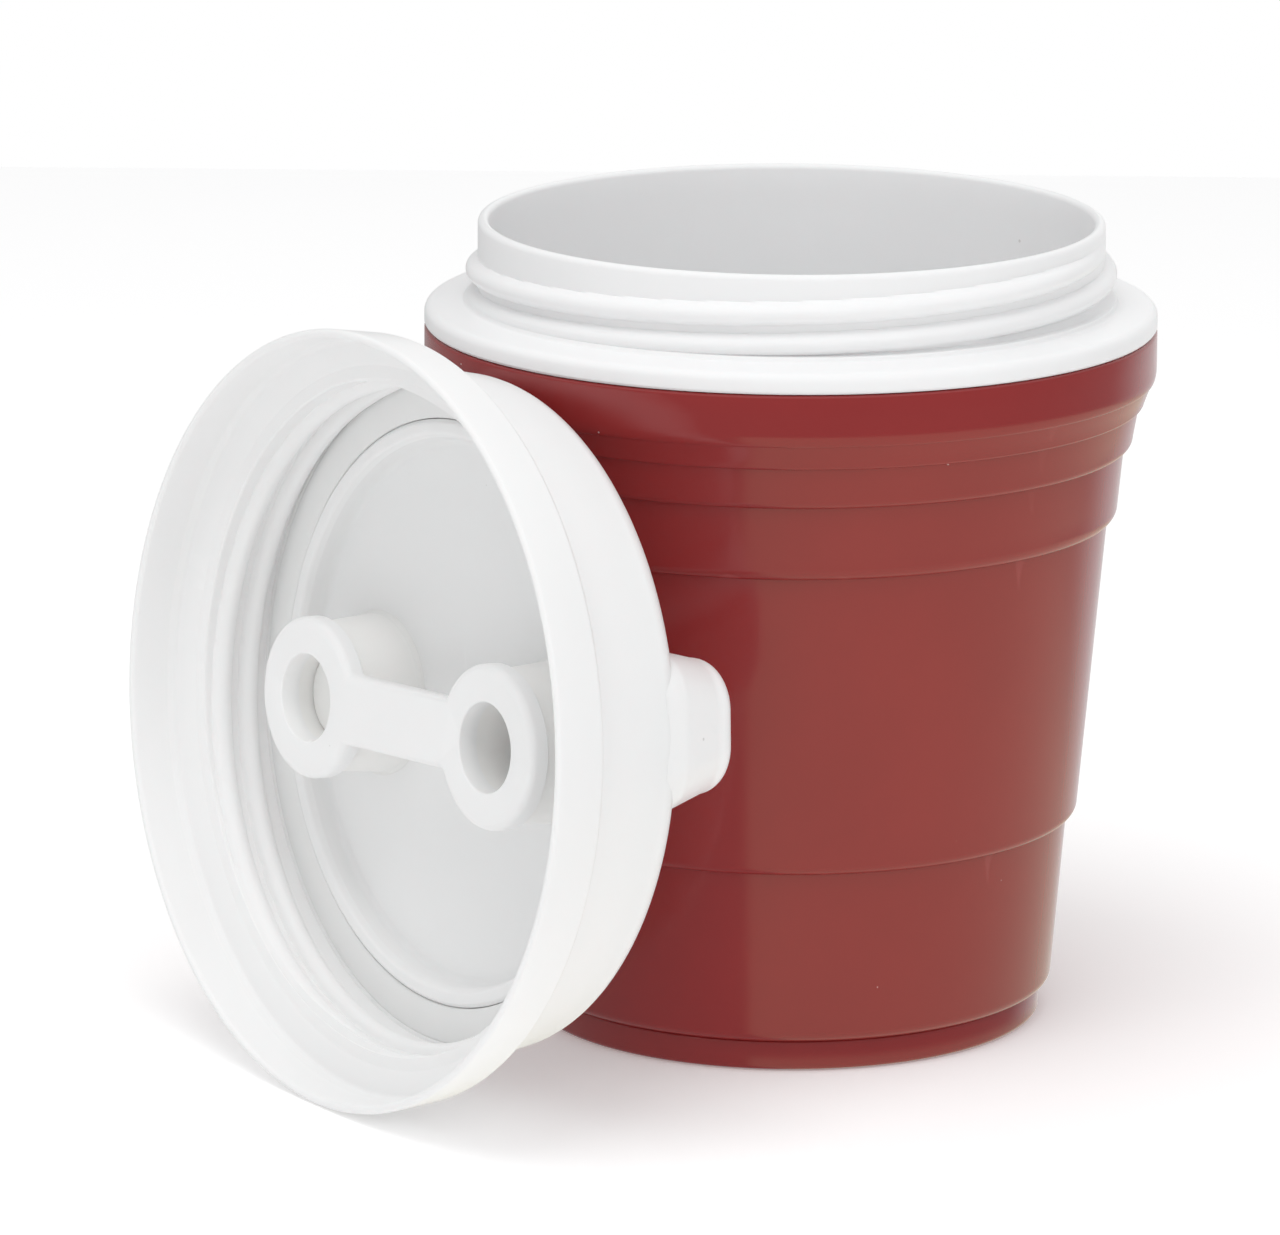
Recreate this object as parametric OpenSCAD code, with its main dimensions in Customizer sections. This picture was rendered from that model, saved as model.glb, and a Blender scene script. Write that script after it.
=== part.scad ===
// Screw-top tumbling barrel: a double-walled, stepped, tapering tub with its lid taken off.
// The lid stands on its rim and leans on the tub by its grip bar. Millimetres, Z up.
// The tub stands on z = 0 with its axis on Z.

/* [Tub] */
// Radius of the flange and of the shell's top band
tub_r = 57; // [56.9:0.1:57.1]
// Height of the mouth above the floor
mouth_h = 126; // [125:0.5:127]
// Height of the top edge of the red shell
shell_h = 109.4; // [109.2:0.1:109.4]
// Wall of the red shell
shell_wall = 2.2; // [1.8:0.1:2.3]

/* [Neck] */
// Outer radius of the neck
neck_r = 48.7; // [48.5:0.1:48.9]
// Wall of the neck at the mouth
neck_wall = 1.7; // [1.4:0.1:1.9]
// Crest radius of the screw thread
crest_r = 50.6; // [50.3:0.1:50.7]
// Distance between neighbouring thread ridges
pitch = 4.8; // [4.6:0.1:5]

/* [Lid] */
// Outer radius of the lid's rim
rim_r = 59.1; // [58.9:0.1:59.3]
// Depth of the lid from its rim to its flat back
lid_depth = 28; // [28:0.1:28.4]
// Centre of the lid's rim plane, to the left of the tub's axis
lid_left = 67.9; // [67.9:0.1:72]
// Centre of the lid's rim plane, in front of the tub's axis
lid_front = 58.1; // [58.1:0.1:62]
// Compass direction that the lid's back faces, from +X towards +Y
lid_azimuth = 36.21; // [35:0.1:37]
// How far the lid's back tips down
lid_lean = 4.16; // [3:0.1:4.2]
// Turn of the lid from level
lid_turn = -3.5; // [-6:0.5:0]

/* [Grip and posts] */
// Length of the grip bar where it meets the lid
grip_len = 103; // [98:1:103]
// Width of the grip bar where it meets the lid
grip_w = 24.2; // [23:0.2:25]
// Height of the grip bar above the lid's back
grip_h = 12; // [9:0.5:12]
// Distance between the two posts
post_gap = 48.9; // [46:0.1:50]
// Radius of the well in each post
well_r = 6.8; // [6:0.1:7.5]

/* [Hidden] */
$fn = 96;

red = [0.60, 0.10, 0.12];
white = [0.93, 0.93, 0.95];
cream = [0.92, 0.90, 0.86];
foam_grey = [0.75, 0.74, 0.70];
seal_black = [0.10, 0.10, 0.11];
seal_pale = [0.88, 0.88, 0.88];
steel = [0.70, 0.71, 0.73];

// Clearance between faces that are not glued or pressed together
gap = 0.2;
// Points on each quarter round of an outline
arc_n = 6;

// The shell's bands from the top down:
// [z at the top, r at the top, r where the underside starts to round, z there, r at the bottom]
bands = [
    [shell_h, tub_r, tub_r, 103.4, 56.5],
    [101.4, 56.4, 55.2, 98.2, 54.5],
    [97.6, 54.4, 53.5, 92.4, 52.3],
    [91.2, 52.2, 51.3, 81.6, 49.9],
    [79.7, 49.8, 45.8, 33.8, 44.3],
    [32.3, 44.2, 42.1, 6.6, 40.4]
];
shell_foot = 4.8;
rim_edge = 0.5;

foot_r = 40.2;
foot_corner = 0.8;
foot_plate = 2.6;
spigot_top = 8;
spigot_r = 38;
spigot_wall = 2;
// The foam ends above the shell's rounded foot
foam_low = 6.5;

flange_z = 109.5;
flange_corner = 1.7;
flange_top = 112.6;
flange_root = 113.2;
neck_fillet = 1.8;
neck_foot_z = 103;
liner_wall = 2;
liner_top_r = 48.9;
liner_low_r = 38.2;
liner_floor_z = 9.5;
liner_corner = 4;
collar_in = 51;
collar_out = 54.6;
collar_z = 104;
groove_r = 52.4;
groove_low = 105.6;
groove_high = 108.2;

seal_r = 1.1;
seal_ring_r = tub_r - shell_wall - seal_r - 0.05;

// Two ridges wind up the neck, each starting below the flange's top and fading near the mouth
starts = 2;
lead = starts * pitch;
ridge_w = 4;
front_crest_z = 120.3;
front_angle = 270;
neck_ridge_from = -62;
neck_ridge_to = 362;
ridge_rise = 40;
ridge_fade = 50;
ridge_steps = 36;
ridge_pts = 6;
ridge_sink = 0.6;

// Lid outline, as radius and depth behind the rim plane
lip_r = 0.7;
skirt_back_r = 58.3;
skirt_back = 7.6;
skirt_edge = 1;
skirt_in = 57.5;
recess = 6.4;
recess_edge = 7.4;
ledge_r = 53.3;
ledge = 9;
drum_root_r = 54.4;
drum_root = 10.2;
drum_r = 51.7;
shoulder = 4;
thread_wall_r = 51.2;
thread_wall = 9.6;
thread_end = 20.4;
groove_out_r = 50.5;
seat_r = 44.9;
seat = 24;
back_plate = 2.2;
back_in = lid_depth - back_plate;

lid_ridge_h = 1.6;
lid_ridge_from = -48;
lid_ridge_to = 338;
lid_crest_z = 10.8;
lid_ridge_turn = -60;
lid_ridge_fade = 35;

insert_r = seat_r - gap;
insert_face = 24.2;
ring_lip_top = 20;
ring_lip_wall = 3;

gasket_top = 20.4;

bridge_face = 10.6;
bridge_t = 3.2;
bridge_round = 1.2;
collar_r = 12.5;
post_r = 11.7;
post_root_r = 12.3;
web_w = 10.3;
// The line of the posts sits a little low and turned on the insert
post_drop = 0.7;
post_turn = 0.8;
post_top = bridge_face + bridge_t;
post_floor = 2;

plug_depth = 5.5;
plug_t = 2;
plug_gap = 0.05;

screw_r = 1.95;
screw_hole_r = 2.2;
screw_head_r = 4.4;
screw_head_h = 2.4;
screw_end = lid_depth + grip_h - 3.5;
boss_hole_r = 2;
boss_r = 4.5;

grip_wall = 2;
grip_taper_len = 6.2;
grip_taper_w = 3.8;
grip_corner = 7.6;
grip_edge = 3.3;
// The bar is turned a little from the line of the posts, and its ends reach down over the shoulder
bar_turn = -4;
bar_root = 24.6;
hull_fn = 32;

// The rim's lowest point touches z = 0
lip_mid_r = rim_r - lip_r;
lid_up = lip_mid_r * cos(lid_lean) + lip_r * (1 + sin(lid_lean));

// Quarter round from angle a to a + turn about c, with a half-width and a half-height
function arc(c, rx, ry, a, turn) =
    [for (i = [0:arc_n]) [c[0] + rx * cos(a + turn * i / arc_n),
                          c[1] + ry * sin(a + turn * i / arc_n)]];

// One band's outline: its straight side, then its rounded underside
function band_line(i) =
    let (b = bands[i],
         low = i + 1 < len(bands) ? bands[i + 1][0] : shell_foot)
    concat([[b[1], b[0]]],
           arc([b[4], b[3]], b[2] - b[4], b[3] - low, 0, -90));

// The whole stepped side, moved in by inset
function side_line(inset) =
    [for (i = [0:len(bands) - 1])
        for (p = band_line(i)) [p[0] - inset, p[1]]];

function reversed(list) = [for (i = [len(list) - 1:-1:0]) list[i]];

// Height of a ridge along its length: 0 at a fading end, 1 in the middle
function fade(a, from, to, fade_in, fade_out) =
    let (low = fade_in > 0 ? min(1, (a - from) / fade_in) : 1,
         high = fade_out > 0 ? min(1, (to - a) / fade_out) : 1,
         f = max(0, min(low, high)))
    f * f * (3 - 2 * f);

// A rounded ridge wound on radius r; side is 1 for outside and -1 for inside.
// z0 is the crest's height at angle a0. Its root goes into the wall, as a moulded ridge's does.
module ridge(r, side, h, a0, z0, from, to, fade_in, fade_out) {
    steps = ceil((to - from) / 360 * ridge_steps);
    ring = ridge_pts + 3;
    pts = [for (k = [0:steps])
        let (a = from + (to - from) * k / steps,
             f = fade(a, from, to, fade_in, fade_out),
             z = z0 + lead * (a - a0) / 360,
             rise = h * f - ridge_sink / 2 * (1 - f),
             half = ridge_w / 2 * (0.7 + 0.3 * f))
        for (j = [0:ring - 1])
            let (t = -90 + 180 * j / ridge_pts,
                 root = j > ridge_pts,
                 rad = r + side * (root ? -ridge_sink : rise * cos(t)),
                 up = root ? (j == ridge_pts + 1 ? half : -half) : half * sin(t))
            [rad * cos(a), rad * sin(a), z + up]];
    quads = [for (k = [0:steps - 1])
        for (j = [0:ring - 1])
            let (j2 = (j + 1) % ring,
                 p = k * ring + j,
                 q = k * ring + j2)
            each [[p, q, q + ring], [p, q + ring, p + ring]]];
    first = [for (j = [ring - 1:-1:0]) j];
    last = [for (j = [0:ring - 1]) steps * ring + j];
    tris = concat(quads, [first, last]);
    polyhedron(pts, side > 0 ? tris : [for (t = tris) reversed(t)], convexity = 10);
}

// Lid frame: X along the grip bar to the left, Y up, Z from the rim plane to the back
module at_lid() {
    translate([-lid_left, -lid_front, lid_up])
        rotate([0, 90 + lid_lean, lid_azimuth])
            rotate([0, 0, 90 + lid_turn])
                children();
}

module on_post_line() {
    translate([0, -post_drop, 0])
        rotate([0, 0, post_turn])
            children();
}

module at_posts() {
    on_post_line()
        for (side = [-1, 1])
            translate([side * post_gap / 2, 0, 0]) children();
}

module outer_shell() {
    color(red)
        rotate_extrude()
            polygon(concat([[tub_r - rim_edge, shell_h]],
                           [[tub_r, shell_h - rim_edge]],
                           [for (i = [1:len(side_line(0)) - 1]) side_line(0)[i]],
                           reversed(side_line(shell_wall))));
}

module base_cap() {
    color(red)
        rotate_extrude()
            polygon(concat([[0, 0]],
                           arc([foot_r - foot_corner, foot_corner], foot_corner, foot_corner, -90, 90),
                           [[foot_r, shell_foot - gap / 2],
                            [spigot_r, shell_foot - gap / 2],
                            [spigot_r, spigot_top],
                            [spigot_r - spigot_wall, spigot_top],
                            [spigot_r - spigot_wall, foot_plate],
                            [0, foot_plate]]));
}

// Liner outline: flange and neck outside, bowl inside, then the bowl's outside back up
module liner_outline() {
    lip = neck_wall / 2;
    bowl_r = liner_low_r - liner_wall;
    floor_in = liner_floor_z + liner_wall;
    polygon(concat(
        [[tub_r - rim_edge, flange_z],
         [tub_r, flange_z + rim_edge]],
        arc([tub_r - flange_corner, flange_top - flange_corner], flange_corner, flange_corner, 0, 90),
        [[neck_r + neck_fillet, flange_root]],
        reversed(arc([neck_r + neck_fillet, flange_root + neck_fillet], neck_fillet, neck_fillet,
                     180, 90)),
        arc([neck_r - lip, mouth_h - lip], lip, lip, 0, 180),
        [[neck_r - neck_wall, neck_foot_z],
         [bowl_r, floor_in + liner_corner]],
        arc([bowl_r - liner_corner, floor_in + liner_corner], liner_corner, liner_corner, 0, -90),
        [[0, floor_in],
         [0, liner_floor_z]],
        arc([liner_low_r - liner_corner, liner_floor_z + liner_corner], liner_corner, liner_corner,
            -90, 90),
        [[liner_top_r, neck_foot_z],
         [liner_top_r, flange_z],
         [collar_in, flange_z],
         [collar_in, collar_z],
         [collar_out, collar_z],
         [collar_out, groove_low],
         [groove_r, groove_low],
         [groove_r, groove_high],
         [collar_out, groove_high],
         [collar_out, flange_z]]));
}

module liner() {
    color(white)
        rotate_extrude() liner_outline();
}

module neck_thread() {
    color(white)
        for (s = [0:starts - 1])
            rotate([0, 0, s * 360 / starts])
                ridge(neck_r, 1, crest_r - neck_r, front_angle, front_crest_z,
                      neck_ridge_from, neck_ridge_to, ridge_rise, ridge_fade);
}

module foam_jacket() {
    outside = [for (p = side_line(shell_wall + gap)) if (p[1] < neck_foot_z && p[1] > foam_low) p];
    color(foam_grey)
        rotate_extrude()
            polygon(concat(
                [[liner_top_r + gap, neck_foot_z]],
                [[outside[0][0], neck_foot_z]],
                outside,
                [[spigot_r, spigot_top + gap],
                 [spigot_r - spigot_wall - gap, spigot_top + gap],
                 [spigot_r - spigot_wall - gap, foot_plate + gap],
                 [0, foot_plate + gap],
                 [0, liner_floor_z - gap]],
                arc([liner_low_r - liner_corner, liner_floor_z + liner_corner],
                    liner_corner + gap, liner_corner + gap, -90, 90)));
}

module shell_seal() {
    color(seal_black)
        translate([0, 0, (groove_low + groove_high) / 2])
            rotate_extrude()
                translate([seal_ring_r, 0]) circle(r = seal_r, $fn = 24);
}

// The drum's side and rounded shoulder
function drum_line() =
    concat([[drum_root_r, drum_root]],
           arc([drum_r - shoulder, lid_depth - shoulder], shoulder, shoulder, 0, 90));

module lid_outline() {
    polygon(concat(
        arc([lip_mid_r, lip_r], lip_r, lip_r, 180, 180),
        arc([skirt_back_r - skirt_edge, skirt_back], skirt_edge, skirt_edge, 0, 90),
        drum_line(),
        [[0, lid_depth],
         [0, back_in],
         [seat_r, back_in],
         [seat_r, seat],
         [groove_out_r, seat],
         [groove_out_r, thread_end],
         [thread_wall_r, thread_end],
         [thread_wall_r, thread_wall],
         [ledge_r, ledge],
         [skirt_in - rim_edge, recess_edge],
         [skirt_in, recess]]));
}

module lid_cap() {
    color(white)
        at_lid()
            difference() {
                rotate_extrude() lid_outline();
                at_posts()
                    translate([0, 0, back_in - 1])
                        cylinder(r = screw_hole_r, h = back_plate + 2);
            }
}

module lid_thread() {
    color(white)
        at_lid()
            for (s = [0:starts - 1])
                rotate([0, 0, lid_ridge_turn + s * 360 / starts])
                    ridge(thread_wall_r, -1, lid_ridge_h, 0, lid_crest_z,
                          lid_ridge_from, lid_ridge_to, lid_ridge_fade, lid_ridge_fade);
}

// A tapering bar with rounded corners and a rounded face, from root up; inset makes its hollow
module grip_block(inset, height, root) {
    corner = grip_corner - inset;
    edge = grip_edge;
    half_len = grip_len / 2 - inset;
    half_w = grip_w / 2 - inset;
    hull()
        for (sx = [-1, 1], sy = [-1, 1]) {
            translate([sx * (half_len - corner), sy * (half_w - corner), root])
                cylinder(r = corner, h = lid_depth + 1 - root, $fn = hull_fn);
            translate([sx * (half_len - grip_taper_len / 2 - corner),
                       sy * (half_w - grip_taper_w / 2 - corner),
                       lid_depth + height - edge])
                rotate_extrude($fn = hull_fn)
                    translate([corner - edge, 0])
                        circle(r = edge, $fn = 16);
        }
}

// The solid round shape of the drum, which the bar's root is cut to fit
module drum() {
    rotate_extrude()
        polygon(concat(drum_line(),
                       [[0, lid_depth],
                        [0, drum_root]]));
}

module grip_bar() {
    color(white)
        at_lid()
            difference() {
                union() {
                    rotate([0, 0, bar_turn])
                        difference() {
                            grip_block(0, grip_h, bar_root);
                            grip_block(grip_wall, grip_h - grip_wall, lid_depth - 0.01);
                            drum();
                        }
                    at_posts()
                        translate([0, 0, lid_depth])
                            cylinder(r = boss_r, h = grip_h - grip_wall + 0.5);
                }
                at_posts()
                    translate([0, 0, lid_depth - 1])
                        cylinder(r = boss_hole_r, h = screw_end - lid_depth + 1.3);
            }
}

module lid_insert() {
    color(white)
        at_lid()
            difference() {
                rotate_extrude()
                    polygon(concat(
                        [[0, insert_face],
                         [insert_r - ring_lip_wall, insert_face]],
                        arc([insert_r - ring_lip_wall / 2, ring_lip_top + ring_lip_wall / 2],
                            ring_lip_wall / 2, ring_lip_wall / 2, 180, 180),
                        [[insert_r, back_in],
                         [0, back_in]]));
                at_posts()
                    translate([0, 0, insert_face - 1])
                        cylinder(r = screw_hole_r, h = back_in - insert_face + 2);
            }
}

module post(side) {
    color(cream)
        at_lid() on_post_line()
            translate([side * post_gap / 2, 0, post_top])
                difference() {
                    cylinder(r1 = post_r, r2 = post_root_r, h = insert_face - post_top);
                    translate([0, 0, -1])
                        cylinder(r = well_r, h = insert_face - post_top - post_floor + 1);
                    translate([0, 0, insert_face - post_top - post_floor - 1])
                        cylinder(r = screw_hole_r, h = post_floor + 2);
                }
}

module post_bridge() {
    web_half = web_w / 2;
    color(white)
        at_lid()
            difference() {
                union() {
                    at_posts()
                        rotate_extrude()
                            polygon(concat(
                                [[0, bridge_face]],
                                arc([collar_r - bridge_round, bridge_face + bridge_round],
                                    bridge_round, bridge_round, -90, 90),
                                [[collar_r, post_top],
                                 [0, post_top]]));
                    on_post_line()
                        translate([-post_gap / 2, 0, 0]) rotate([90, 0, 90])
                            linear_extrude(height = post_gap)
                                polygon(concat(
                                    arc([web_half - bridge_round, bridge_face + bridge_round],
                                        bridge_round, bridge_round, -90, 90),
                                    [[web_half, post_top],
                                     [-web_half, post_top]],
                                    arc([-web_half + bridge_round, bridge_face + bridge_round],
                                        bridge_round, bridge_round, 180, 90)));
                }
                at_posts()
                    translate([0, 0, bridge_face - 1])
                        cylinder(r = well_r, h = bridge_t + 2);
            }
}

module well_plug() {
    color(cream)
        at_lid() on_post_line()
            translate([post_gap / 2, 0, bridge_face + plug_depth])
                cylinder(r = well_r - plug_gap, h = plug_t);
}

module lid_gasket() {
    color(seal_pale)
        at_lid()
            translate([0, 0, gasket_top])
                difference() {
                    cylinder(r = groove_out_r - gap, h = seat - gasket_top);
                    translate([0, 0, -1]) cylinder(r = seat_r, h = seat - gasket_top + 2);
                }
}

module lid_screws() {
    head_z = insert_face - post_floor - screw_head_h;
    color(steel)
        at_lid()
            at_posts()
                union() {
                    translate([0, 0, head_z]) cylinder(r = screw_head_r, h = screw_head_h);
                    translate([0, 0, head_z + 1]) cylinder(r = screw_r, h = screw_end - head_z - 1);
                }
}

outer_shell();
base_cap();
liner();
neck_thread();
foam_jacket();
shell_seal();
lid_cap();
lid_thread();
grip_bar();
lid_insert();
post(1);  // post_left
post(-1);  // post_right
post_bridge();
well_plug();
lid_gasket();
lid_screws();
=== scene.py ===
"""Looks for the tumbling barrel: new meshes for the surfaces that show, procedural materials,
a pale floor, soft studio light and the camera. Metres, in the CAD frame."""
import math

import bmesh
import bpy
from mathutils import Matrix, Vector


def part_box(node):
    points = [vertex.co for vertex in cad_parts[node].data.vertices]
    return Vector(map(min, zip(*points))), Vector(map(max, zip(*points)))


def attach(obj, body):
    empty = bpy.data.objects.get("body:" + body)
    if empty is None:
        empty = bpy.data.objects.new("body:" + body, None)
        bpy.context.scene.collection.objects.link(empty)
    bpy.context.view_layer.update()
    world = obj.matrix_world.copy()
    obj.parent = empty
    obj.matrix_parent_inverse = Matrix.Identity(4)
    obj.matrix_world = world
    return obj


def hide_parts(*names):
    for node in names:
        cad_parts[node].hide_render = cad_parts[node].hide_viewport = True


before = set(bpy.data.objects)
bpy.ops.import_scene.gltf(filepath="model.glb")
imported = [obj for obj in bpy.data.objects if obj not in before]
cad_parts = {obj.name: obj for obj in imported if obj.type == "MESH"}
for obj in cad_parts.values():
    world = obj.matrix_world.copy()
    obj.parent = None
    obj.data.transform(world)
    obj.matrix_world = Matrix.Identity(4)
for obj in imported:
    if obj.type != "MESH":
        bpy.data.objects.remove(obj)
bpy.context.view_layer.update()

# ---------------------------------------------------------------- scale and places

DESIGN_WIDTH = 114.0
shell_low, shell_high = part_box("outer_shell")
MM = (shell_high.x - shell_low.x) / DESIGN_WIDTH
TAU = 2 * math.pi

# The lid's frame: X along the grip to the left, Y up, Z from its rim plane to its back
LID_AZIMUTH = math.radians(36.21)
LID_LEAN = math.radians(4.16)
LID_TURN = math.radians(-3.5)
BAR_TURN = math.radians(-4.0)
GASKET_MID = 22.2


def box_centre(node):
    low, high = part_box(node)
    return (low + high) / 2


def lid_matrix():
    turn = (Matrix.Rotation(LID_AZIMUTH, 4, "Z")
            @ Matrix.Rotation(math.pi / 2 + LID_LEAN, 4, "Y")
            @ Matrix.Rotation(math.pi / 2 + LID_TURN, 4, "Z"))
    back = turn.to_3x3() @ Vector((0, 0, 1))
    return Matrix.Translation(box_centre("lid_gasket") - back * GASKET_MID * MM) @ turn


LID = lid_matrix()
TUB = Matrix.Identity(4)

# ---------------------------------------------------------------- outlines

def arc(cx, cy, rx, ry, start, turn, n=8):
    """Points of an arc, angles in degrees."""
    out = []
    for i in range(n + 1):
        t = math.radians(start + turn * i / n)
        out.append((cx + rx * math.cos(t), cy + ry * math.sin(t)))
    return out


def filleted(points, n=5):
    """An open outline of (r, z, fillet radius) with each corner rounded."""
    out = []
    for i, (x, y, f) in enumerate(points):
        if i in (0, len(points) - 1) or f <= 0:
            out.append((x, y))
            continue
        p = Vector((x, y))
        a = Vector(points[i - 1][:2]) - p
        b = Vector(points[i + 1][:2]) - p
        half = a.angle(b) / 2
        if half > math.radians(89.5):
            out.append((x, y))
            continue
        back = min(f / math.tan(half), a.length * 0.48, b.length * 0.48)
        radius = back * math.tan(half)
        centre = p + (a.normalized() + b.normalized()).normalized() * (radius / math.sin(half))
        first = p + a.normalized() * back - centre
        last = p + b.normalized() * back - centre
        sweep = first.angle_signed(last)
        for k in range(n + 1):
            q = first.copy()
            q.rotate(Matrix.Rotation(-sweep * k / n, 2))
            out.append(tuple(centre + q))
    return out


def dense(points, step):
    """The same outline with no stretch longer than step."""
    out = [points[0]]
    for a, b in zip(points, points[1:]):
        n = max(1, math.ceil(math.dist(a, b) / step))
        out += [(a[0] + (b[0] - a[0]) * i / n, a[1] + (b[1] - a[1]) * i / n)
                for i in range(1, n + 1)]
    return out


# ---------------------------------------------------------------- mesh builders

SHARP = math.radians(38)


def finish_piece(bm, name, place, body, material, replaces=()):
    """Turns a bmesh in mm into a smooth-shaded piece that rides on a body."""
    bmesh.ops.remove_doubles(bm, verts=bm.verts, dist=1e-5)
    bmesh.ops.recalc_face_normals(bm, faces=bm.faces)
    for e in bm.edges:
        e.smooth = len(e.link_faces) == 2 and e.calc_face_angle(0) < SHARP
    for f in bm.faces:
        f.smooth = True
    mesh = bpy.data.meshes.new(name)
    bm.to_mesh(mesh)
    bm.free()
    mesh.transform(place @ Matrix.Scale(MM, 4))
    obj = bpy.data.objects.new(name, mesh)
    bpy.context.scene.collection.objects.link(obj)
    mesh.materials.append(material)
    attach(obj, body)
    if replaces:
        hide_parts(*replaces)


def revolve(outline, segments=256, closed=True, move=None):
    """A bmesh of an outline of (r, z) turned about Z. move(r, z, angle) may change r."""
    bm = bmesh.new()
    rings = []
    for r, z in outline:
        if r < 1e-6:
            rings.append([bm.verts.new((0, 0, z))])
            continue
        ring = []
        for k in range(segments):
            a = TAU * k / segments
            rr = move(r, z, a) if move else r
            ring.append(bm.verts.new((rr * math.cos(a), rr * math.sin(a), z)))
        rings.append(ring)
    pairs = list(zip(rings, rings[1:]))
    if closed:
        pairs.append((rings[-1], rings[0]))
    for lo, hi in pairs:
        for k in range(segments):
            k2 = (k + 1) % segments
            if len(lo) == 1 and len(hi) == 1:
                break
            if len(lo) == 1:
                bm.faces.new((lo[0], hi[k2], hi[k]))
            elif len(hi) == 1:
                bm.faces.new((lo[k], lo[k2], hi[0]))
            else:
                bm.faces.new((lo[k], lo[k2], hi[k2], hi[k]))
    return bm


# ---------------------------------------------------------------- thread

PITCH = 4.8
STARTS = 2
LEAD = PITCH * STARTS
RIDGE_HALF = 1.75
RIDGED_SEGMENTS = 384
RIDGED_STEP = 0.22

# Where the ridges wind: the height z0 of a crest at the angle a0, the angles they run between
# and the angles they fade over at each end
NECK_RIDGES = dict(z0=120.3, a0=270.0, first=-62.0, last=362.0, fade_in=40.0, fade_out=50.0)
LID_RIDGES = dict(z0=12.4, a0=0.0, first=-108.0, last=278.0, fade_in=35.0, fade_out=35.0)


def smooth(x):
    x = min(1.0, max(0.0, x))
    return x * x * (3 - 2 * x)


def ridge_rise(z, angle, z0, a0, first, last, fade_in, fade_out):
    """Height, from 0 to 1, of the wound ridges at a point of the wall; angles in degrees."""
    best = 0.0
    deg = math.degrees(angle)
    for s in range(STARTS):
        turn = math.floor((first - (deg - s * 360 / STARTS)) / 360)
        for t in range(turn, turn + 4):
            a = deg - s * 360 / STARTS + 360 * t
            if not first <= a <= last:
                continue
            f = min(smooth((a - first) / fade_in), smooth((last - a) / fade_out))
            x = abs(z - (z0 + LEAD * (a - a0) / 360)) / (RIDGE_HALF * (0.75 + 0.25 * f))
            if x < 1:
                best = max(best, f * (1 - x * x) ** 0.6)
    return best


# ---------------------------------------------------------------- materials

def new_material(name):
    mat = bpy.data.materials.new(name)
    mat.use_nodes = True
    tree = mat.node_tree
    shader = next(n for n in tree.nodes if n.type == "BSDF_PRINCIPLED")
    return mat, tree, shader


def node(tree, kind, **values):
    n = tree.nodes.new(kind)
    for key, value in values.items():
        if key in n.inputs:
            n.inputs[key].default_value = value
        else:
            setattr(n, key, value)
    return n


def noise(tree, coords, scale, detail=3.0, rough=0.55):
    n = node(tree, "ShaderNodeTexNoise", Scale=scale, Detail=detail, Roughness=rough)
    tree.links.new(coords.outputs["Object"], n.inputs["Vector"])
    return n.outputs["Fac"]


def spread(tree, value, low, high, out_low, out_high, kind="LINEAR"):
    n = node(tree, "ShaderNodeMapRange", interpolation_type=kind)
    tree.links.new(value, n.inputs["Value"])
    for key, v in (("From Min", low), ("From Max", high), ("To Min", out_low), ("To Max", out_high)):
        n.inputs[key].default_value = v
    return n.outputs["Result"]


def blend(tree, fac, a, b):
    """A colour mix of a and b, each a colour or a socket."""
    n = node(tree, "ShaderNodeMix", data_type="RGBA")
    for key, v in ((0, fac), (6, a), (7, b)):
        if hasattr(v, "is_linked"):
            tree.links.new(v, n.inputs[key])
        else:
            n.inputs[key].default_value = v
    return n.outputs[2]


def math_node(tree, op, a, b=0.0):
    n = node(tree, "ShaderNodeMath", operation=op)
    for i, v in enumerate((a, b)):
        if hasattr(v, "is_linked"):
            tree.links.new(v, n.inputs[i])
        else:
            n.inputs[i].default_value = v
    return n.outputs[0]


def edge_mask(tree, low=0.52, high=0.60):
    geo = node(tree, "ShaderNodeNewGeometry")
    return spread(tree, geo.outputs["Pointiness"], low, high, 0.0, 1.0, "SMOOTHSTEP")


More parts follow.
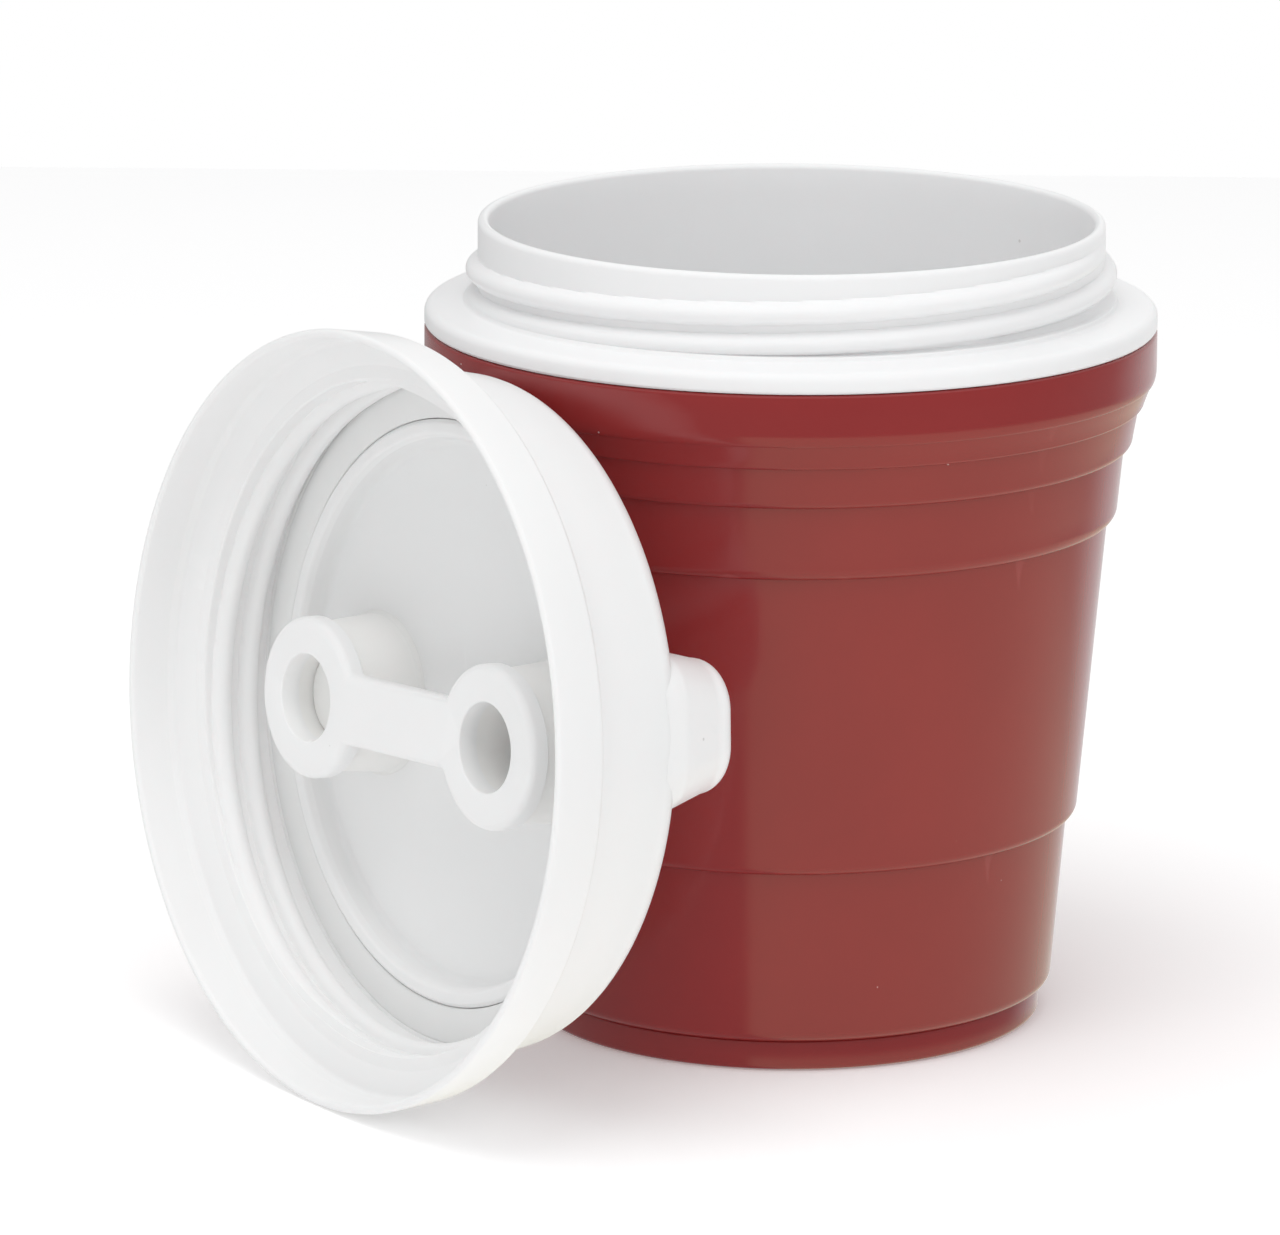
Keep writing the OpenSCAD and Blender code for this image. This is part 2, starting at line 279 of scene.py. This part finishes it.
def plastic(name, base, tint, edge, rough=(0.285, 0.34), bump=0.02, wave=0.02, ior=1.49,
            specks=None, subsurface=0.0):
    """Moulded plastic: faintly clouded colour, smudged gloss, fine grain, paler rubbed edges, dust."""
    mat, tree, shader = new_material(name)
    coords = node(tree, "ShaderNodeTexCoord")
    clouds = noise(tree, coords, 34.0, 3.0)
    colour = blend(tree, spread(tree, clouds, 0.25, 0.75, 0.0, 1.0, "SMOOTHSTEP"), base, tint)
    wear = math_node(tree, "MULTIPLY", edge_mask(tree),
                     spread(tree, noise(tree, coords, 120.0, 1.0), 0.42, 0.62, 0.25, 1.0))
    colour = blend(tree, math_node(tree, "MULTIPLY", wear, 0.45), colour, edge)
    smudge = spread(tree, noise(tree, coords, 26.0, 2.0), 0.3, 0.7, rough[0], rough[1])
    if specks:
        size, density, dust, strength = specks
        dots = node(tree, "ShaderNodeTexVoronoi", feature="F1", Scale=size, Randomness=1.0)
        tree.links.new(coords.outputs["Object"], dots.inputs["Vector"])
        keep = node(tree, "ShaderNodeSeparateColor")
        tree.links.new(dots.outputs["Color"], keep.inputs["Color"])
        reach = spread(tree, keep.outputs[1], 0.0, 1.0, 0.03, 0.10)
        near = math_node(tree, "LESS_THAN", dots.outputs["Distance"], reach)
        dot = math_node(tree, "MULTIPLY", near,
                        math_node(tree, "GREATER_THAN", keep.outputs[0], 1.0 - density))
        colour = blend(tree, math_node(tree, "MULTIPLY", dot, strength), colour, dust)
        smudge = math_node(tree, "ADD", smudge, math_node(tree, "MULTIPLY", dot, 0.35))
    tree.links.new(colour, shader.inputs["Base Color"])
    tree.links.new(smudge, shader.inputs["Roughness"])
    shader.inputs["IOR"].default_value = ior
    shader.inputs["Subsurface Weight"].default_value = subsurface
    shader.inputs["Subsurface Radius"].default_value = (0.004, 0.003, 0.003)
    shader.inputs["Subsurface Scale"].default_value = 1.0
    fine = node(tree, "ShaderNodeBump", Strength=bump, Distance=0.0002)
    broad = node(tree, "ShaderNodeBump", Strength=wave, Distance=0.0006)
    tree.links.new(noise(tree, coords, 1100.0, 1.0), fine.inputs["Height"])
    tree.links.new(noise(tree, coords, 24.0, 1.0), broad.inputs["Height"])
    tree.links.new(broad.outputs["Normal"], fine.inputs["Normal"])
    tree.links.new(fine.outputs["Normal"], shader.inputs["Normal"])
    return mat


def steel(name):
    mat, tree, shader = new_material(name)
    coords = node(tree, "ShaderNodeTexCoord")
    streak = noise(tree, coords, 700.0, 4.0)
    tree.links.new(blend(tree, streak, (0.50, 0.51, 0.53, 1), (0.72, 0.72, 0.73, 1)),
                   shader.inputs["Base Color"])
    tree.links.new(spread(tree, streak, 0.3, 0.7, 0.22, 0.42), shader.inputs["Roughness"])
    shader.inputs["Metallic"].default_value = 1.0
    bump = node(tree, "ShaderNodeBump", Strength=0.15, Distance=0.0002)
    tree.links.new(streak, bump.inputs["Height"])
    tree.links.new(bump.outputs["Normal"], shader.inputs["Normal"])
    return mat


def soft_solid(name, base, tint, scale, rough, bump):
    """Foam or rubber: mottled colour and a rough, pored surface."""
    mat, tree, shader = new_material(name)
    coords = node(tree, "ShaderNodeTexCoord")
    pores = node(tree, "ShaderNodeTexVoronoi", feature="F1", Scale=scale)
    tree.links.new(coords.outputs["Object"], pores.inputs["Vector"])
    tree.links.new(blend(tree, noise(tree, coords, scale / 8), base, tint), shader.inputs["Base Color"])
    tree.links.new(spread(tree, pores.outputs["Distance"], 0.0, 0.8, rough, rough - 0.12),
                   shader.inputs["Roughness"])
    rise = node(tree, "ShaderNodeBump", Strength=bump, Distance=0.0005)
    tree.links.new(pores.outputs["Distance"], rise.inputs["Height"])
    tree.links.new(rise.outputs["Normal"], shader.inputs["Normal"])
    return mat


RED = plastic("red_shell", (0.275, 0.0150, 0.0150, 1), (0.255, 0.0130, 0.0133, 1),
              (0.36, 0.05, 0.05, 1), rough=(0.13, 0.18), bump=0.02, wave=0.06, ior=1.60,
              specks=(420.0, 0.05, (0.80, 0.68, 0.66, 1), 0.7))
# The whites stay rougher than 0.28: from 0.24 to 0.32 they rendered with hard-edged patches
WHITE = plastic("white_moulded", (0.92, 0.92, 0.925, 1), (0.905, 0.905, 0.91, 1), (0.95, 0.95, 0.95, 1),
                rough=(0.285, 0.345), subsurface=0.12,
                specks=(330.0, 0.012, (0.45, 0.43, 0.40, 1), 0.4))
WHITE_LID = plastic("white_lid", (0.915, 0.915, 0.915, 1), (0.90, 0.90, 0.90, 1), (0.95, 0.95, 0.95, 1),
                    rough=(0.285, 0.355), subsurface=0.12,
                    specks=(330.0, 0.014, (0.42, 0.40, 0.38, 1), 0.4))
CREAM = plastic("cream_post", (0.92, 0.915, 0.90, 1), (0.905, 0.90, 0.885, 1), (0.95, 0.94, 0.92, 1),
                rough=(0.285, 0.37), subsurface=0.12)
SEAL_PALE = plastic("pale_seal", (0.89, 0.89, 0.885, 1), (0.87, 0.87, 0.865, 1), (0.91, 0.91, 0.91, 1),
                    rough=(0.42, 0.55), bump=0.05, ior=1.41, subsurface=0.15)
FOAM = soft_solid("foam", (0.72, 0.69, 0.60, 1), (0.62, 0.58, 0.50, 1), 1400.0, 0.95, 0.6)
RUBBER = soft_solid("rubber", (0.030, 0.030, 0.032, 1), (0.05, 0.05, 0.05, 1), 2600.0, 0.62, 0.15)
STEEL = steel("screw_steel")

# ---------------------------------------------------------------- the tub

SHELL_R = 57.0
SHELL_TOP = 109.4
SHELL_FOOT = 4.8
SHELL_WALL = 2.2
TOP_EDGE = 0.6
TOP_BAND_LOW = 103.4

# Each band: its top, radius there, radius where its lower edge starts to round under, that
# height, and the radius it ends at
BANDS = [
    (SHELL_TOP, SHELL_R, SHELL_R, TOP_BAND_LOW, 56.5),
    (101.4, 56.4, 55.2, 98.2, 54.5),
    (97.6, 54.4, 53.5, 92.4, 52.3),
    (91.2, 52.2, 51.3, 81.6, 49.9),
    (79.7, 49.8, 45.8, 33.8, 44.3),
    (32.3, 44.2, 42.1, 6.6, 40.4),
]


def shell_outline():
    """The stepped side from the top down, then the plain inside from the bottom up."""
    out = arc(SHELL_R - TOP_EDGE, SHELL_TOP - TOP_EDGE, TOP_EDGE, TOP_EDGE, 90, -90, 4)
    for i, (top, r_top, r_low, z_low, r_end) in enumerate(BANDS):
        bottom = BANDS[i + 1][0] if i + 1 < len(BANDS) else SHELL_FOOT
        if i:
            out.append((r_top, top))
        out += arc(r_end, z_low, r_low - r_end, z_low - bottom, 0, -90, 10)
    inside = [(b[4] - SHELL_WALL, BANDS[i + 1][0] if i + 1 < len(BANDS) else SHELL_FOOT)
              for i, b in enumerate(BANDS)]
    mouth_r = SHELL_R - SHELL_WALL
    return out + inside[::-1] + [(mouth_r, TOP_BAND_LOW), (mouth_r, SHELL_TOP)]


def make_shell():
    finish_piece(revolve(dense(shell_outline(), 3.0), 320), "shell_skin", TUB, "barrel", RED,
                 ["outer_shell"])


BASE_R = 40.2
BASE_EDGE = 0.8
BASE_TOP = 4.7
SPIGOT_R = 38.0
SPIGOT_BORE = 36.0
SPIGOT_TOP = 8.0
BASE_FLOOR = 2.6


def make_base():
    outline = ([(0, 0)] + arc(BASE_R - BASE_EDGE, BASE_EDGE, BASE_EDGE, BASE_EDGE, -90, 90, 8)
               + filleted([(BASE_R, 2.2, 0), (BASE_R, BASE_TOP, 0.4), (SPIGOT_R, BASE_TOP, 0),
                           (SPIGOT_R, SPIGOT_TOP, 0.4), (SPIGOT_BORE, SPIGOT_TOP, 0.4),
                           (SPIGOT_BORE, BASE_FLOOR, 0.5), (0, BASE_FLOOR, 0)], 4))
    finish_piece(revolve(outline, 256, closed=False), "base_disc", TUB, "barrel", RED,
                 ["base_cap"])


NECK_R = 48.7
CREST_R = 50.6
RIDGES_LOW = 111.0
RIDGES_BELOW_TOP = 1.2
NECK_TOP = 126.0
NECK_LIP = 0.85
SPIGOT_FOOT = 104.0
SHOULDER = 109.5
NECK_FOOT = 103.0
FLANGE_R = 57.0
BOWL_FLOOR = 11.5
BOWL_UNDER = 9.5


def neck_shape(r, z, angle):
    """Raises the neck's wall where a ridge winds over it."""
    if not (NECK_R - 0.05 <= r <= CREST_R and RIDGES_LOW < z < NECK_TOP - RIDGES_BELOW_TOP):
        return r
    rise = ridge_rise(z, angle, **NECK_RIDGES)
    return max(r, NECK_R + (CREST_R - NECK_R) * rise)


def make_liner():
    outside = filleted([
        (51.0, SPIGOT_FOOT, 0), (54.6, SPIGOT_FOOT, 0.4), (54.6, SHOULDER, 0), (56.7, SHOULDER, 0.15),
        (FLANGE_R, 109.9, 0.2), (FLANGE_R, 112.6, 1.7), (50.9, 113.25, 0.5), (50.5, 113.9, 0.4),
        (49.3, 114.0, 0.5), (NECK_R, 114.9, 0.5), (NECK_R, NECK_TOP - NECK_LIP, 0)], 6)
    low, top = outside[:-1], outside[-1]
    neck = dense([low[-1], top], RIDGED_STEP)
    lip = arc(NECK_R - NECK_LIP, NECK_TOP - NECK_LIP, NECK_LIP, NECK_LIP, 0, 180, 10)
    inside = filleted([
        (NECK_R - 2 * NECK_LIP, NECK_TOP - NECK_LIP, 0), (46.9, NECK_FOOT, 8.0),
        (36.2, BOWL_FLOOR, 4.5), (0, BOWL_FLOOR, 0)], 10)
    under = filleted([
        (0, BOWL_UNDER, 0), (38.2, BOWL_UNDER, 4.5), (48.9, NECK_FOOT, 1.0), (48.9, SHOULDER, 0),
        (51.0, SHOULDER, 0), (51.0, SPIGOT_FOOT, 0)], 6)
    outline = low + neck[1:] + lip[1:] + dense(inside, 4.0)[1:] + under
    finish_piece(revolve(outline[:-1], RIDGED_SEGMENTS, move=neck_shape), "liner_skin", TUB, "barrel",
                 WHITE, ["liner", "neck_thread"])


# ---------------------------------------------------------------- the lid

LID_BACK = 28.0
RIM_R = 59.1
RIM_EDGE = 0.7
DRUM_R = 51.7
DRUM_SHOULDER = 4.0
THREAD_WALL = 51.2
THREAD_TOP = 20.2
LID_RIDGE = 1.6
SEAT_R = 44.9
GROOVE_R = 50.5
GROOVE_FLOOR = 24.0
SEAT_FLOOR = 25.8
GASKET_TOP = 20.4
RING_TOP = 20.0
INSERT_FACE = 24.2
INSERT_BACK = 25.75
RECESS = 9.5


def lid_thread(r, z, angle):
    """Draws the lid's wall in where a ridge winds over it."""
    if abs(r - THREAD_WALL) > 0.02 or not 8.0 < z < GASKET_TOP - 0.1:
        return r
    return r - LID_RIDGE * ridge_rise(z, angle, **LID_RIDGES)


def make_lid_cap():
    rim = arc(RIM_R - RIM_EDGE, RIM_EDGE, RIM_EDGE, RIM_EDGE, 180, 180, 10)
    outside = filleted([
        (RIM_R, RIM_EDGE, 0), (58.3, 8.6, 1.1), (54.9, 9.9, 0.9), (54.2, 11.2, 1.5),
        (DRUM_R, LID_BACK - DRUM_SHOULDER, 0)], 9)
    outside += arc(DRUM_R - DRUM_SHOULDER, LID_BACK - DRUM_SHOULDER, DRUM_SHOULDER, DRUM_SHOULDER,
                   0, 90, 12)[1:]
    outside.append((0, LID_BACK))
    inside = filleted([
        (0, SEAT_FLOOR, 0), (SEAT_R, SEAT_FLOOR, 0.2), (SEAT_R, GROOVE_FLOOR, 0.2),
        (GROOVE_R, GROOVE_FLOOR, 0.3), (GROOVE_R, GASKET_TOP, 0.3), (THREAD_WALL, GASKET_TOP, 0.2)], 5)
    wall = dense([(THREAD_WALL, THREAD_TOP), (THREAD_WALL, RECESS)], RIDGED_STEP)
    mouth = filleted([
        (THREAD_WALL, RECESS, 0), (THREAD_WALL + 0.2, 9.2, 0.2), (53.3, 9.0, 0.6), (57.1, 7.5, 0.9),
        (57.55, 6.2, 0.8), (57.7, RIM_EDGE, 0)], 6)
    outline = rim + dense(outside, 4.0)[1:] + inside + wall + mouth[1:-1]
    finish_piece(revolve(outline, RIDGED_SEGMENTS, move=lid_thread), "lid_cap_skin", LID, "lid",
                 WHITE_LID, ["lid_cap", "lid_thread"])


def make_insert():
    """The disc that closes the lid's back, with a round-topped ring standing up at its edge."""
    outline = filleted([
        (0, INSERT_FACE, 0), (41.4, INSERT_FACE, 1.4), (41.9, 21.3, 0.6), (42.5, 20.1, 0.8),
        (44.2, RING_TOP, 0.5), (44.75, 20.6, 0.3), (44.75, INSERT_BACK, 0.2), (0, INSERT_BACK, 0)], 6)
    finish_piece(revolve(dense(outline, 3.0), 256, closed=False), "insert_disc", LID, "lid", WHITE_LID,
                 ["lid_insert"])


def make_gasket():
    outline = filleted([
        (44.85, GROOVE_FLOOR, 0), (44.85, GASKET_TOP, 0.3), (50.55, GASKET_TOP, 0.2),
        (50.55, GROOVE_FLOOR, 0.2), (44.86, GROOVE_FLOOR, 0)], 5)
    finish_piece(revolve(dense(outline, 2.0)[:-1], 256), "gasket_ring", LID, "lid", SEAL_PALE,
                 ["lid_gasket"])


POST_X = 24.45
POST_DROP = 0.7
POST_TURN = math.radians(0.8)
WELL_R = 6.8
POST_R = 11.7
POST_ROOT_R = 12.3
COLLAR_R = 12.5
BRIDGE_FACE = 10.6
BRIDGE_BACK = 13.8
POST_LINE = Matrix.Translation((0, -POST_DROP * MM, 0)) @ Matrix.Rotation(POST_TURN, 4, "Z")


def make_post(side, name, node_name):
    floor = INSERT_FACE - 2.0
    hole = 2.2
    outline = filleted([
        (POST_R - 0.25, BRIDGE_BACK, 0.2), (POST_ROOT_R - 0.05, INSERT_FACE - 0.5, 0.5),
        (POST_ROOT_R + 0.5, INSERT_FACE, 0), (hole, INSERT_FACE, 0), (hole, floor, 0.2),
        (WELL_R - 0.05, floor, 0.6), (WELL_R, BRIDGE_BACK, 0)], 6)
    place = LID @ POST_LINE @ Matrix.Translation((side * POST_X * MM, 0, 0))
    finish_piece(revolve(outline, 128), name, place, "lid", CREAM, [node_name])


def dogbone(inset, n=44, join_n=6):
    """Outline of the bridge drawn in by inset: two round ends, a web, a hollow fillet at each join."""
    collar, web, fillet = COLLAR_R - inset, 5.15 - inset, 0.9 + inset
    dy = web + fillet
    dx = math.sqrt((collar + fillet) ** 2 - dy ** 2)
    touch = math.atan2(dy, -dx)
    half = [(POST_X + collar * math.cos(t), collar * math.sin(t))
            for t in (touch * (2 * i / n - 1) for i in range(n + 1))]
    half += [(POST_X - dx + fillet * math.cos(t), dy + fillet * math.sin(t))
             for t in (touch - math.pi + (math.pi / 2 - touch) * (i + 1) / join_n
                       for i in range(join_n))]
    return half + [(-x, -y) for x, y in half]


def make_bridge():
    """Rings of the outline up the side and over a rounded edge, then faces with two round holes."""
    edge, hole_edge = 1.2, 0.3
    bm = bmesh.new()

    def loop(points, z):
        return [bm.verts.new((x, y, z)) for x, y in points]

    def hole(side, r, z, n=72):
        return loop([(side * POST_X + r * math.cos(TAU * i / n), r * math.sin(TAU * i / n))
                     for i in range(n)], z)

    def skin(rings):
        for lo, hi in zip(rings, rings[1:]):
            for k in range(len(lo)):
                k2 = (k + 1) % len(lo)
                bm.faces.new((lo[k], lo[k2], hi[k2], hi[k]))

    outer = [loop(dogbone(0.3), BRIDGE_BACK), loop(dogbone(0), BRIDGE_BACK - 0.3),
             loop(dogbone(0), BRIDGE_FACE + edge)]
    outer += [loop(dogbone(edge * (1 - math.cos(t))), BRIDGE_FACE + edge * (1 - math.sin(t)))
              for t in (math.pi / 2 * i / 6 for i in range(1, 7))]
    skin(outer)
    holes = []
    for side in (-1, 1):
        rings = [hole(side, WELL_R + hole_edge * (1 - math.cos(t)),
                      BRIDGE_FACE + hole_edge * (1 - math.sin(t)))
                 for t in (math.pi / 2 * i / 4 for i in range(4, -1, -1))]
        rings.append(hole(side, WELL_R, BRIDGE_BACK))
        skin(rings)
        holes.append(rings)
    for ring, k in ((outer[-1], 0), (outer[0], -1)):
        edges = []
        for loop_verts in [ring] + [h[k] for h in holes]:
            edges += [bm.edges.get((a, b)) for a, b in zip(loop_verts, loop_verts[1:] + loop_verts[:1])]
        bmesh.ops.triangle_fill(bm, edges=edges, use_beauty=True)
    finish_piece(bm, "bridge_plate", LID @ POST_LINE, "lid", WHITE_LID, ["post_bridge"])


def make_grip():
    """A tapering bar: rounded-corner rings from over the drum's shoulder to a softly rounded face."""
    half_len, half_w, corner = 51.5, 12.1, 7.6
    top_len, top_w = 48.4, 10.2
    root, face, edge = LID_BACK, 40.0, 3.3
    bm = bmesh.new()
    rings = []

    def ring(lx, ly, c, z, n=14):
        c = min(c, lx - 0.01, ly - 0.01)
        pts = []
        for k, (sx, sy) in enumerate(((1, 1), (-1, 1), (-1, -1), (1, -1))):
            for i in range(n + 1):
                t = math.radians(90 * k + 90 * i / n)
                pts.append(bm.verts.new((sx * (lx - c) + c * math.cos(t),
                                         sy * (ly - c) + c * math.sin(t), z)))
        rings.append(pts)

    ring(half_len, half_w, corner, root - 3.4)
    levels = 10
    for i in range(levels + 1):
        f = i / levels
        z = root + (face - edge - root) * f
        ring(half_len + (top_len - half_len) * f, half_w + (top_w - half_w) * f, corner, z)
    for i in range(1, 11):
        t = math.radians(90 * i / 10)
        shrink = edge * (1 - math.cos(t))
        ring(top_len - shrink, top_w - shrink, corner - shrink, face - edge + edge * math.sin(t))
    for shrink in (1.2, 2.6, 4.2):
        ring(top_len - edge - shrink, top_w - edge - shrink, corner - edge - shrink * 0.6, face)
    count = len(rings[0])
    for lo, hi in zip(rings, rings[1:]):
        for k in range(count):
            k2 = (k + 1) % count
            bm.faces.new((lo[k], lo[k2], hi[k2], hi[k]))
    bm.faces.new(rings[-1])
    bm.faces.new(rings[0][::-1])
    place = LID @ Matrix.Rotation(BAR_TURN, 4, "Z")
    finish_piece(bm, "grip_skin", place, "lid", WHITE_LID, ["grip_bar"])


def make_plug():
    top, bottom, r = 16.1, 18.1, 6.72
    outline = filleted([(0, top, 0), (6.3, top, 0.4), (r, 16.5, 0.2), (r, bottom, 0.2),
                        (0, bottom, 0)], 4)
    place = LID @ POST_LINE @ Matrix.Translation((POST_X * MM, 0, 0))
    finish_piece(revolve(outline, 96, closed=False), "plug_disc", place, "lid", CREAM,
                 ["well_plug"])


def repaint(node_name, material):
    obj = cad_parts[node_name]
    for s in obj.material_slots:
        s.material = material


make_shell()
make_base()
make_liner()
make_lid_cap()
make_insert()
make_gasket()
make_post(1, "post_tube_left", "post_left")
make_post(-1, "post_tube_right", "post_right")
make_bridge()
make_grip()
make_plug()
repaint("foam_jacket", FOAM)
repaint("shell_seal", RUBBER)
repaint("lid_screws", STEEL)

# ---------------------------------------------------------------- floor, light and camera

def make_floor():
    size, sunk, glow = 0.75, 0.0002, 0.21
    mesh = bpy.data.meshes.new("floor")
    mesh.from_pydata([(-size, -size, 0), (size, -size, 0), (size, size, 0), (-size, size, 0)], [],
                     [(0, 1, 2, 3)])
    floor = bpy.data.objects.new("floor", mesh)
    floor.location.z = -sunk
    bpy.context.scene.collection.objects.link(floor)
    mat, tree, shader = new_material("floor_white")
    coords = node(tree, "ShaderNodeTexCoord")
    tree.links.new(blend(tree, noise(tree, coords, 3.0), (0.93, 0.93, 0.935, 1), (0.95, 0.95, 0.95, 1)),
                   shader.inputs["Base Color"])
    shader.inputs["Roughness"].default_value = 0.9
    shader.inputs["Specular IOR Level"].default_value = 0.1
    shader.inputs["Emission Color"].default_value = (1.0, 1.0, 1.0, 1)
    shader.inputs["Emission Strength"].default_value = glow
    mesh.materials.append(mat)
    floor.visible_glossy = False


SURROUND = 0.66
LOWEST_REFLECTION = 0.42


def make_world():
    """White to the camera, even white for shading, and a softbox pattern for reflections."""
    world = bpy.data.worlds.new("studio")
    bpy.context.scene.world = world
    world.use_nodes = True
    tree = world.node_tree
    tree.nodes.clear()
    coords = node(tree, "ShaderNodeTexCoord")
    split = node(tree, "ShaderNodeSeparateXYZ")
    tree.links.new(coords.outputs["Generated"], split.inputs[0])
    x, y, z = split.outputs
    side = math_node(tree, "ARCTAN2", x, math_node(tree, "MULTIPLY", y, -1.0))
    rise = math_node(tree, "ARCSINE", z)

    def ramp(value, a, b):
        return spread(tree, value, math.radians(a), math.radians(b), 0.0, 1.0, "SMOOTHSTEP")

    table = math_node(tree, "MULTIPLY", ramp(rise, -15.0, -18.5), ramp(side, -19.0, -14.0))
    above = math_node(tree, "MULTIPLY", ramp(rise, 12.0, 40.0), 0.85)
    behind = math_node(tree, "MULTIPLY", ramp(side, 95.0, 150.0), 0.9)
    level = math_node(tree, "MAXIMUM", math_node(tree, "MULTIPLY", table, 0.95),
                      math_node(tree, "MAXIMUM", above, behind))
    level = math_node(tree, "MAXIMUM", level, LOWEST_REFLECTION)
    path = node(tree, "ShaderNodeLightPath")
    warm = blend(tree, table, (1.0, 1.0, 1.0, 1), (1.0, 0.97, 0.80, 1))
    glossy = blend(tree, level, (0, 0, 0, 1), warm)
    shade = blend(tree, path.outputs["Is Glossy Ray"], (SURROUND, SURROUND, SURROUND, 1), glossy)
    seen = blend(tree, path.outputs["Is Camera Ray"], shade, (1.0, 1.0, 1.0, 1))
    back = node(tree, "ShaderNodeBackground")
    out = node(tree, "ShaderNodeOutputWorld")
    tree.links.new(seen, back.inputs["Color"])
    tree.links.new(back.outputs[0], out.inputs[0])


def area(name, where, size, watts, toward=(0, 0, 0.06)):
    """A white softbox, left out of reflections."""
    light = bpy.data.lights.new(name, "AREA")
    light.shape = "RECTANGLE"
    light.size, light.size_y = size
    light.energy = watts
    light.color = (1.0, 1.0, 1.0)
    obj = bpy.data.objects.new(name, light)
    obj.location = where
    obj.rotation_euler = (Vector(toward) - Vector(where)).to_track_quat("-Z", "Y").to_euler()
    bpy.context.scene.collection.objects.link(obj)
    obj.visible_glossy = False


def make_camera():
    """Set from the frame: the tub's width fixes the distance, and the view looks a little down."""
    unit = (shell_high.x - shell_low.x) / 2
    distance, height = 21.338 * unit, 6.115 * unit
    pitch, yaw, roll = 13.258, -1.094, 0.286
    data = bpy.data.cameras.new("camera")
    data.sensor_width = 36.0
    data.lens = 223.8
    data.clip_start, data.clip_end = 0.05, 60.0
    cam = bpy.data.objects.new("camera", data)
    cam.location = (0, -distance, height)
    look = (Matrix.Rotation(math.radians(-yaw), 3, "Z")
            @ Matrix.Rotation(math.radians(90 - pitch), 3, "X")
            @ Matrix.Rotation(math.radians(roll), 3, "Z"))
    cam.rotation_euler = look.to_euler()
    bpy.context.scene.collection.objects.link(cam)
    bpy.context.scene.camera = cam


make_floor()
make_world()
area("key_front", (0.35, -1.25, 0.85), (0.8, 0.6), 1.3)
area("key_top", (-0.15, -0.45, 1.35), (0.9, 0.9), 6.8)
make_camera()
bpy.context.scene.view_settings.view_transform = "Standard"
bpy.context.scene.view_settings.look = "None"
